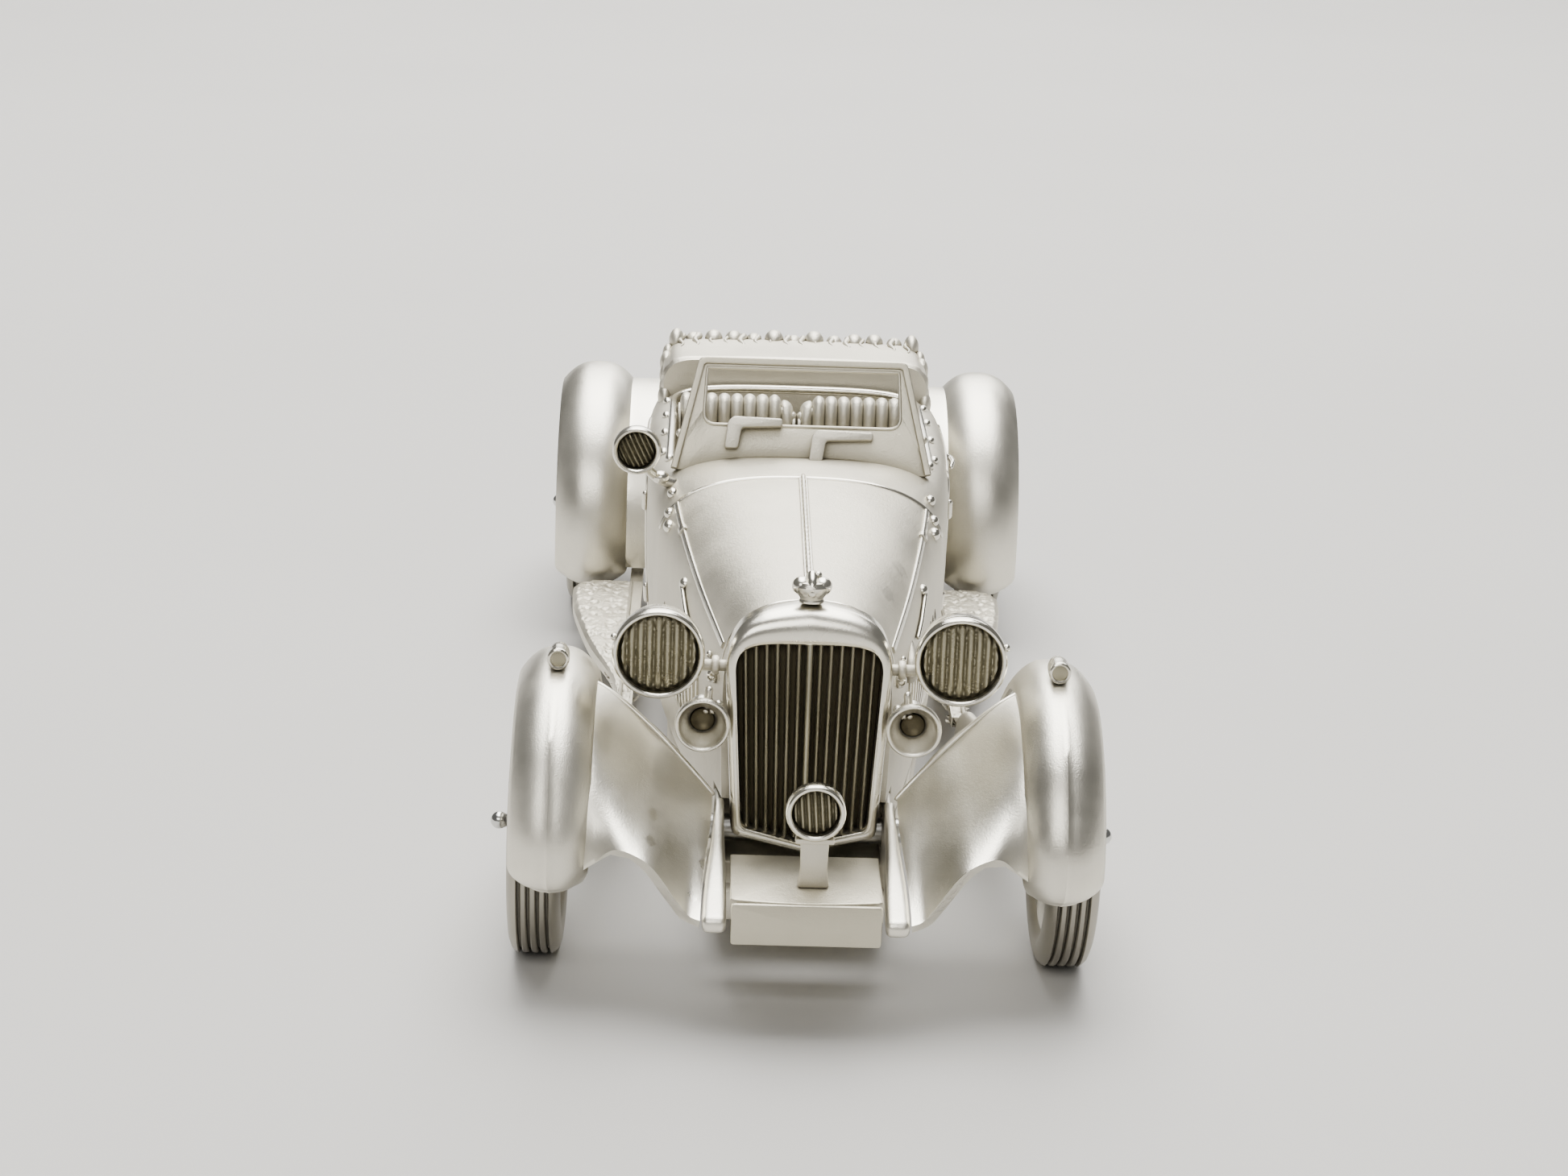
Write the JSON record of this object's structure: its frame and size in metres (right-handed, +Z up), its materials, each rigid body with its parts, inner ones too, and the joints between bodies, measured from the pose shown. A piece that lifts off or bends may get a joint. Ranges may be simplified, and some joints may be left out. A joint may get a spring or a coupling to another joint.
{
  "type": "diecast collector car",
  "caption": "Cast white-metal collector's model of a 1930s open tourer, with folded hood, sweeping fenders, round lamps and turning wheels on steel axles.",
  "frame": {"origin": "on the ground, at the middle of the car's length and width", "axes": "+Z up; the car faces -Y, so +Y runs to its tail; +X is the car's left side"},
  "size_m": [0.039, 0.1024, 0.0305],
  "materials": {
    "satin_pewter": "satin blasted white metal",
    "bright_pewter": "hand-polished white metal",
    "antiqued_dark": "dark antiquing left in the recesses",
    "antiqued_lens": "antiqued ribbed white metal",
    "tyre_metal": "darkened grooved white metal",
    "steel": "bright turned steel"
  },
  "bodies": {
    "car_body": {"radiator_shell": "bright_pewter", "radiator_grille": "antiqued_dark", "radiator_cap": "bright_pewter", "windscreen_frame": "bright_pewter", "wiper_left": "satin_pewter", "wiper_right": "satin_pewter", "chassis_base": "satin_pewter", "base_screw_front": "steel", "base_screw_rear": "steel", "bonnet": "satin_pewter", "body_tub": "satin_pewter", "fender_front_left": "satin_pewter", "fender_front_right": "satin_pewter", "fender_rear_left": "satin_pewter", "fender_rear_right": "satin_pewter", "running_board_left": "satin_pewter", "running_board_right": "satin_pewter", "front_pan": "satin_pewter", "number_plate_front": "bright_pewter", "number_plate_rear": "bright_pewter", "headlamp_left": "bright_pewter", "headlamp_right": "bright_pewter", "headlamp_lens_left": "antiqued_lens", "headlamp_lens_right": "antiqued_lens", "headlamp_bracket_left": "satin_pewter", "headlamp_bracket_right": "satin_pewter", "horn_left": "bright_pewter", "horn_right": "bright_pewter", "fog_lamp": "bright_pewter", "fog_lamp_lens": "antiqued_lens", "fog_lamp_post": "satin_pewter", "side_lamp_left": "bright_pewter", "side_lamp_right": "bright_pewter", "spot_lamp": "bright_pewter", "spot_lamp_lens": "antiqued_lens", "spot_lamp_bracket": "bright_pewter", "seat_left": "satin_pewter", "seat_right": "satin_pewter", "dashboard": "satin_pewter", "steering_wheel": "antiqued_dark", "hood_bundle": "satin_pewter", "door_handle_left": "bright_pewter", "door_handle_right": "bright_pewter", "bonnet_catch_left": "bright_pewter", "bonnet_catch_right": "bright_pewter", "side_blister": "satin_pewter", "tail_lamp_left": "bright_pewter", "tail_lamp_right": "bright_pewter", "exhaust_pipe": "satin_pewter"},
    "front_wheels": {"front_axle": "steel", "tyre_front_left": "tyre_metal", "wheel_front_left": "bright_pewter", "tyre_front_right": "tyre_metal", "wheel_front_right": "bright_pewter"},
    "rear_wheels": {"rear_axle": "steel", "tyre_rear_left": "tyre_metal", "wheel_rear_left": "bright_pewter", "tyre_rear_right": "tyre_metal", "wheel_rear_right": "bright_pewter"}
  },
  "joints": [
    {"name": "front_axle_spin", "type": "hinge", "parent": "car_body", "child": "front_wheels", "pos_m": [0, -0.03725, 0.0082], "axis": [1, 0, 0], "continuous": true},
    {"name": "rear_axle_spin", "type": "hinge", "parent": "car_body", "child": "rear_wheels", "pos_m": [0, 0.03475, 0.0082], "axis": [1, 0, 0], "continuous": true}
  ]
}
